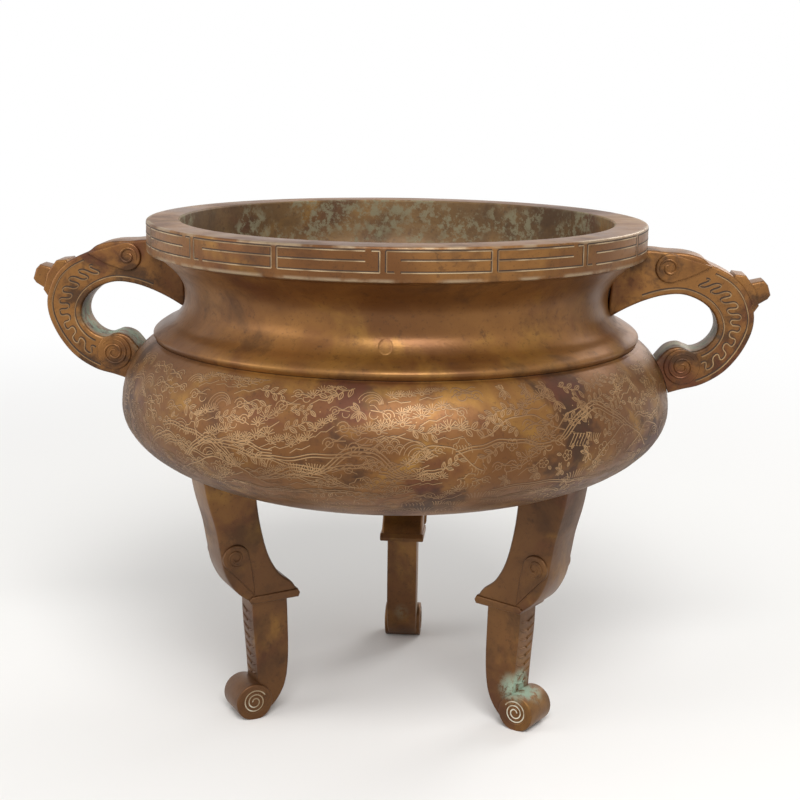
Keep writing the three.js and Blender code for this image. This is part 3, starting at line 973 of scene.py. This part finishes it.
def inward(path, distance):
    # a path moved sideways, into the handle
    flat = np.array(path)
    ahead = np.gradient(flat, axis=0)
    ahead /= np.linalg.norm(ahead, axis=1, keepdims=True)
    return [tuple(p) for p in flat + np.stack([ahead[:, 1], -ahead[:, 0]], axis=1) * distance]


def handleLines():
    # borders by both edges and a wave between them
    h = handleSize
    outer = [(x, z) for x, z in inward(outerEdge, h["border"])
             if (x > 149 or z < 176) and x > 144 and z < 219]
    inner = [(x, z) for x, z in inward(innerEdge, h["border"]) if (x > 147.2 or z > 205) and x > 117.5]
    even = np.linspace(0.02, 0.98, 260)
    share = even - h["waveLoop"] * np.sin(even * 4 * math.pi * h["waves"])

    def resample(line):
        along = np.linspace(0, 1, len(line))
        return np.stack([np.interp(share, along, [p[i] for p in line]) for i in (0, 1)], 1)

    low, high = resample(outer[::-1]), resample([p for p in inner if p[0] > 136])
    beat = 0.5 + h["waveHeight"] * np.sin(even * 2 * math.pi * h["waves"])
    wave = low * (1 - beat[:, None]) + high * beat[:, None]
    return [outer, inner, [tuple(p) for p in wave]]


# painted highlights: light strokes beside the handle's dark lines stand in for the lit edges of the cuts
handleGlint = lineMaterial("handleGlint", (0.340, 0.210, 0.095), (0.190, 0.100, 0.036), 0.45)
# verdigris inside the loop: x, z, radius and share
handlePatches = ((0.141, 0.186, 0.013, 1.0), (0.126, 0.179, 0.012, 0.8), (0.153, 0.190, 0.012, 0.7),
                 (0.135, 0.206, 0.012, 0.4))
handleBlank = joined("handleBlank", handleMeshes(), bowlBronze, (bowlCutter, neckCutter))
borders = handleLines()
for name, turn, side, amount in (("right", 0, 1, 0.45), ("left", 180, -1, 1.0)):
    patches = [((side * x, 0.0, z), radius, verdigris, amount * share)
               for x, z, radius, share in handlePatches]
    metal = bronze(f"handleBronze.{name}", handleLook, patches)
    handle = turnedCopy(handleBlank, f"handle.{name}", turn, metal)
    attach(handle, "root")
    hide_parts(f"handle_{name}")
    for label, material, shift, width, lift in (("handleLines", grooveDark, 0.0, *handleSize["line"]),
                                                ("handleGlints", handleGlint, *handleSize["glint"])):
        paths = [[(u + shift * 0.5, v - shift) for u, v in path] for path in borders]
        lines = facePiece(f"{label}.{name}", paths, handleSize["width"] / 2, turn, width, lift, material)
        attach(lines, "root")
drop(handleBlank)
print("handles made")


# legs, drawn on the +X side, in millimetres
legSize = {"head": 22.0, "shaft": 16.0, "roll": 19.5, "rollRadius": 9.2, "rollReach": 78.5, "rollHeight": 8.6,
           "spiralHeight": 9.0, "spiralLine": 0.6, "folds": 8, "foldFirst": 23.0, "foldStep": 4.5,
           "foldRadius": 0.72}
headPoints = [(104, 128), (101.4, 113), (97.6, 99), (95.6, 88), (93.4, 77), (88, 67), (80.4, 60.4),
              (57.6, 61.4), (56.8, 64.6), (59.6, 68.6), (66, 74), (71.4, 84), (75, 98), (77, 112), (78, 128)]
shaftOuterPoints = [(78.8, 66), (78.4, 50), (76.8, 30), (75.6, 12)]
shaftInnerPoints = [(77, 1.2), (71.6, 2.4), (65.4, 8.6), (61.6, 17), (60.2, 30), (60.4, 48), (61, 66)]
shaftFront = splineThrough(shaftOuterPoints, 12)


def headOutline():
    return (splineThrough(headPoints[:7], 5)[:-1] + [headPoints[6], headPoints[7]]
            + splineThrough(headPoints[8:], 5))


def foldMeshes():
    # crescent folds across the shaft's outward face
    meshes = []
    heights, reaches = [p[1] for p in shaftFront[::-1]], [p[0] for p in shaftFront[::-1]]
    for k in range(legSize["folds"]):
        path = []
        for t in np.linspace(-1, 1, 11):
            z = legSize["foldFirst"] + k * legSize["foldStep"] - 2.0 * (1 - t * t)
            path.append((float(np.interp(z, heights, reaches)) - 0.12, t * 6.6, z))
        meshes.append(tube(path, legSize["foldRadius"]))
    return meshes


def legMeshes():
    g = legSize
    lip = [(56.2, 60.6), (55.4, 62.6), (56.6, 64.8), (80, 63.4), (81.6, 61.6), (80.6, 59.8)]
    shaft = shaftFront + splineThrough(shaftInnerPoints, 8)
    meshes = [slab(headOutline(), g["head"], 1.6), slab(shaft, g["shaft"], 0.9),
              slab(discOutline(g["rollReach"], g["rollHeight"], g["rollRadius"]), g["roll"], 0.8),
              slab(leafOutline(88, 84, 6.6, 78.6, 64), g["head"] + 2.4, 0.9),
              slab(lip, g["head"] + 1.6, 0.7)]
    meshes += beads([spiral(88.2, 84.2, 4.5, 1.1, 1.4, 240, 34, 1)], g["head"] / 2 + 1.1, 0.7)
    meshes += beads([spiral(g["rollReach"], g["spiralHeight"], 7.2, 0.8, 2.9, 150, 84, -1)],
                    g["roll"] / 2 - 0.15, 0.5)
    return meshes + foldMeshes()


legBlank = joined("legBlank", legMeshes(), bowlBronze, (bowlCutter,), 0.0)
paleSpiral = lineMaterial("paleSpiral", (0.62, 0.58, 0.46), (0.30, 0.22, 0.13), 0.7, 90.0)
scroll = spiral(legSize["rollReach"], legSize["spiralHeight"], 5.95, 1.2, 2.4, 150, 84, -1)
for name, turn in (("front_left", -150), ("front_right", -30), ("rear", 90)):
    a = math.radians(turn)
    patches = []
    if name != "front_left":  # verdigris on the feet
        patches = [((0.0745 * math.cos(a), 0.0745 * math.sin(a) - 0.004, 0.020), 0.011, verdigris, 0.95),
                   ((0.080 * math.cos(a), 0.080 * math.sin(a), 0.017), 0.009, verdigris, 0.6)]
    metal = bronze(f"legBronze.{name}", legLook, patches)
    leg = turnedCopy(legBlank, f"leg.{name}", turn, metal)
    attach(leg, "root")
    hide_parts(f"leg_{name}")
    lines = facePiece(f"footSpirals.{name}", [scroll], legSize["roll"] / 2, turn, legSize["spiralLine"],
                      0.05, paleSpiral)
    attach(lines, "root")
drop(legBlank, bowlCutter, neckCutter)
print("legs made")


# rivets and washers stay as the part's own solids
rivetLook = {**castLook, "tan": (0.36, 0.22, 0.10), "roughness": 0.4}
rivetBronze = bronze("rivetBronze", rivetLook)
for name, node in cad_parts.items():
    if name.endswith(("rivet", "washer")):
        node.data.materials.clear()
        node.data.materials.append(rivetBronze)
print("rivets painted")


# floor, light and camera, in metres
stageLook = {"floor": (0.84, 0.83, 0.81), "floorHalf": 7.0, "fade": (0.30, 1.15), "keyPower": 27.0,
             "fillPower": 8.0, "rimPower": 9.0, "world": 0.5}
white = (1, 1, 1, 1)


def seenRays(graph):
    # 1 for the rays that the camera sees, straight or by way of metal and glass
    seen = graph.add("ShaderNodeLightPath", out="Is Camera Ray")
    seen = seen.maths("MAXIMUM", graph.add("ShaderNodeLightPath", out="Is Glossy Ray"))
    return seen.maths("MAXIMUM", graph.add("ShaderNodeLightPath", out="Is Transmission Ray"))


# the floor fades to white away from the object
half = stageLook["floorHalf"] / mm
floorMaterial, floorGraph, floorShader = newMaterial("floorPaint")
floorShader.inputs["Base Color"].default_value = (*stageLook["floor"], 1)
floorShader.inputs["Roughness"].default_value = 0.9
floorAway = floorGraph.distance(floorGraph.add("ShaderNodeTexCoord", out="Object"), (0, 0, 0))
floorGlow = floorGraph.add("ShaderNodeEmission", {"Color": white, "Strength": 1.0})
floorFade = floorAway.ramp(*stageLook["fade"]) * seenRays(floorGraph)
floorPaint = Wire(floorGraph, floorShader.outputs[0])
floorBlend = floorGraph.add("ShaderNodeMixShader", {0: floorFade, 1: floorPaint, 2: floorGlow})
floorGraph.feed(floorGraph.nodes["Material Output"].inputs["Surface"], floorBlend)
floor = meshPiece("floor", [(-half, -half, 0), (half, -half, 0), (half, half, 0), (-half, half, 0)],
                  [(0, 1, 2, 3)], floorMaterial, tidy=False)

world = bpy.data.worlds.new("studio")
bpy.context.scene.world = world
world.use_nodes = True
worldGraph = Graph(world)
worldGraph.nodes.clear()
light = worldGraph.add("ShaderNodeBackground", {"Color": white, "Strength": stageLook["world"]})
backdrop = worldGraph.add("ShaderNodeBackground", {"Color": white, "Strength": 1.0})
worldBlend = worldGraph.add("ShaderNodeMixShader", {0: seenRays(worldGraph), 1: light, 2: backdrop})
worldGraph.node("ShaderNodeOutputWorld", {"Surface": worldBlend})


def lamp(name, place, aim, power, width):
    area = bpy.data.lights.new(name, "AREA")
    area.energy, area.size = power, width
    holder = placed(name, area)
    holder.location = place
    holder.rotation_euler = (Vector(aim) - Vector(place)).to_track_quat("-Z", "Y").to_euler()


lamp("key", (0.25, -1.25, 1.45), (0, 0, 0.16), stageLook["keyPower"], 0.9)
lamp("fill", (-1.5, -0.7, 0.7), (0, 0, 0.14), stageLook["fillPower"], 1.0)
lamp("rim", (0.9, 1.3, 1.1), (0, 0, 0.18), stageLook["rimPower"], 0.8)

# angles in degrees; the focal length is in pixels of an 800-pixel frame
cameraFit = {"place": (0.0, -0.7504, 0.3138), "yaw": 0.18, "pitch": 12.22, "roll": 0.72, "orbit": 4.4,
             "focal": 1550.0, "frame": 800.0, "sensor": 36.0, "near": 0.02}
yaw, pitch, roll = (math.radians(cameraFit[k]) for k in ("yaw", "pitch", "roll"))
ahead = Vector((math.sin(yaw) * math.cos(pitch), math.cos(yaw) * math.cos(pitch), -math.sin(pitch)))
right = Vector((math.cos(yaw), -math.sin(yaw), 0))
up = right.cross(ahead)
rightRolled = right * math.cos(roll) + up * math.sin(roll)
upRolled = up * math.cos(roll) - right * math.sin(roll)
cameraData = bpy.data.cameras.new("camera")
cameraData.sensor_width = cameraFit["sensor"]
cameraData.lens = cameraFit["sensor"] * cameraFit["focal"] / cameraFit["frame"]
cameraData.clip_start = cameraFit["near"]
camera = placed("camera", cameraData)
turnMatrix = Matrix((rightRolled, upRolled, -ahead)).transposed().to_4x4()
orbit = Matrix.Rotation(math.radians(cameraFit["orbit"]), 4, "Z")
camera.matrix_world = orbit @ Matrix.Translation(cameraFit["place"]) @ turnMatrix
bpy.context.scene.camera = camera
bpy.context.scene.view_settings.view_transform = "Standard"
print("stage and camera set")
